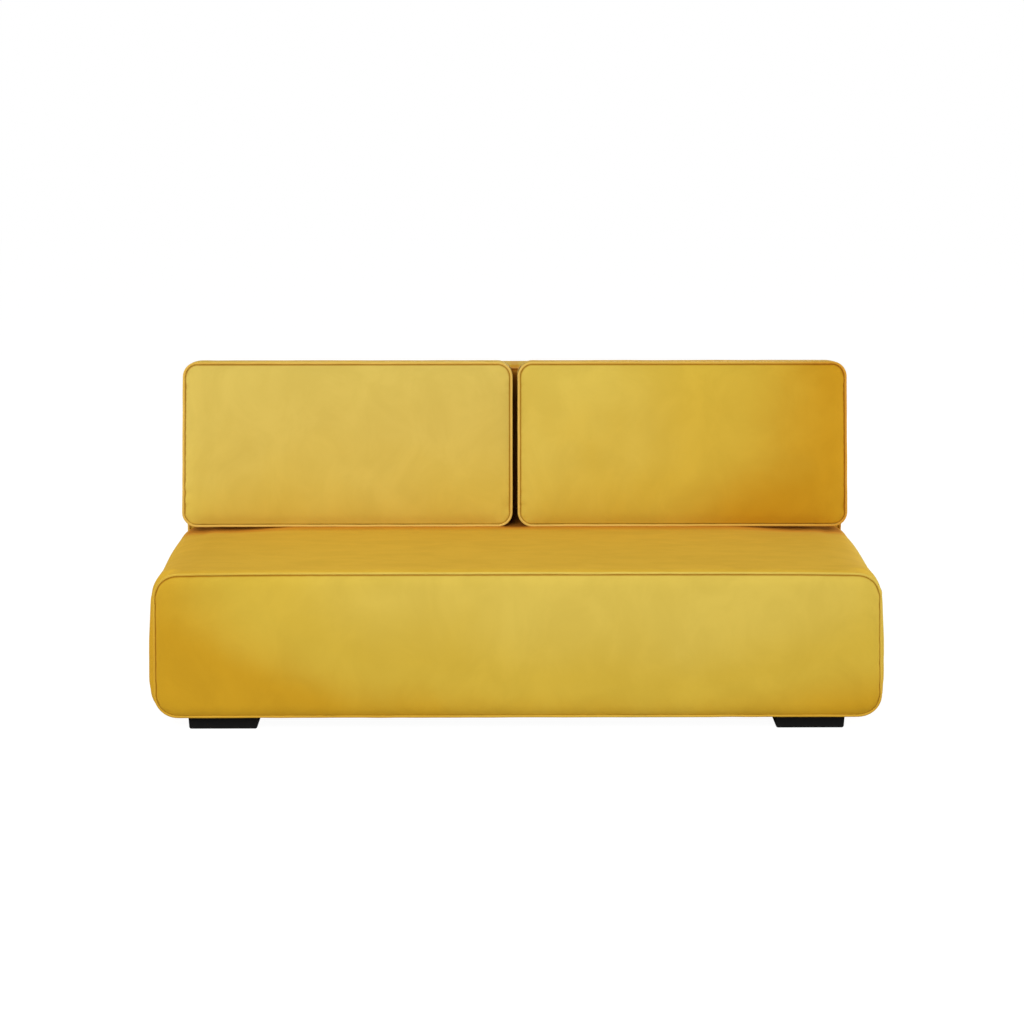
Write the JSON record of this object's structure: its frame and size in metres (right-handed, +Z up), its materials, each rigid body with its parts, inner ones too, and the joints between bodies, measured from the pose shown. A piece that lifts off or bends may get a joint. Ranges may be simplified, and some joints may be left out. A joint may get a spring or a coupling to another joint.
{
  "type": "sofa",
  "caption": "Armless velvet sofa with a deep piped seat block, an upholstered back and loose back cushions on low block feet.",
  "frame": {"origin": "on the floor under the middle of the sofa", "axes": "+X along the sofa to the right as seen from the front, -Y towards the sitter's feet (the front), +Z up"},
  "size_m": [1.99, 0.9412, 0.9253],
  "materials": {
    "velvet": "velvet",
    "cushion_velvet": "velvet",
    "piping": "velvet",
    "foam": "matt",
    "felt": "matt",
    "webbing": "woven",
    "lining": "matt",
    "zip_tape": "woven",
    "timber": "sawn",
    "hardboard": "matt",
    "spring_steel": "satin",
    "fixings": "satin",
    "zip_metal": "satin",
    "foot": "satin"
  },
  "bodies": {
    "sofa": {"front_board": "timber", "rear_board": "timber", "left_end_board": "timber", "right_end_board": "timber", "cross_rails": "timber", "corner_blocks": "timber", "seat_springs": "spring_steel", "spring_clips": "spring_steel", "spring_felt": "felt", "seat_foam": "foam", "seat_front_pad": "foam", "seat_side_pads": "foam", "seat_front_cover": "velvet", "seat_wrap": "velvet", "seat_front_piping": "piping", "seat_rear_lining": "lining", "seat_dust_cover": "lining", "front_left_foot": "foot", "front_right_foot": "foot", "rear_left_foot": "foot", "rear_right_foot": "foot", "foot_screws": "fixings", "back_left_board": "timber", "back_right_board": "timber", "back_bottom_rail": "timber", "back_bolt_rail": "timber", "back_webbing_rails": "timber", "back_mid_post": "timber", "back_webbing": "webbing", "back_foam": "foam", "back_side_pads": "foam", "back_top_pad": "foam", "back_rear_board": "hardboard", "back_front_cover": "velvet", "back_wrap": "velvet", "back_rear_cover": "velvet", "back_front_piping": "piping", "back_rear_piping": "piping", "back_dust_cover": "lining", "back_bolts": "fixings", "tee_nuts": "fixings"},
    "left_cushion": {"left_cushion_filling": "foam", "left_cushion_front": "cushion_velvet", "left_cushion_boxing": "cushion_velvet", "left_cushion_rear": "cushion_velvet", "left_cushion_front_piping": "piping", "left_cushion_rear_piping": "piping", "left_cushion_zip_band": "cushion_velvet", "left_cushion_zip": "zip_tape"},
    "right_cushion": {"right_cushion_filling": "foam", "right_cushion_front": "cushion_velvet", "right_cushion_boxing": "cushion_velvet", "right_cushion_rear": "cushion_velvet", "right_cushion_front_piping": "piping", "right_cushion_rear_piping": "piping", "right_cushion_zip_band": "cushion_velvet", "right_cushion_zip": "zip_tape"},
    "left_slider": {"left_zip_slider": "zip_metal"},
    "right_slider": {"right_zip_slider": "zip_metal"}
  },
  "joints": [
    {"name": "left_cushion_lift", "type": "slide", "parent": "sofa", "child": "left_cushion", "axis": [0, 0, 1], "range_m": [0, 0.5]},
    {"name": "right_cushion_lift", "type": "slide", "parent": "sofa", "child": "right_cushion", "axis": [0, 0, 1], "range_m": [0, 0.5]},
    {"name": "left_zip_slide", "type": "slide", "parent": "left_cushion", "child": "left_slider", "axis": [1, 0, 0], "range_m": [0, 0.746]},
    {"name": "right_zip_slide", "type": "slide", "parent": "right_cushion", "child": "right_slider", "axis": [-1, 0, 0], "range_m": [0, 0.746]}
  ]
}
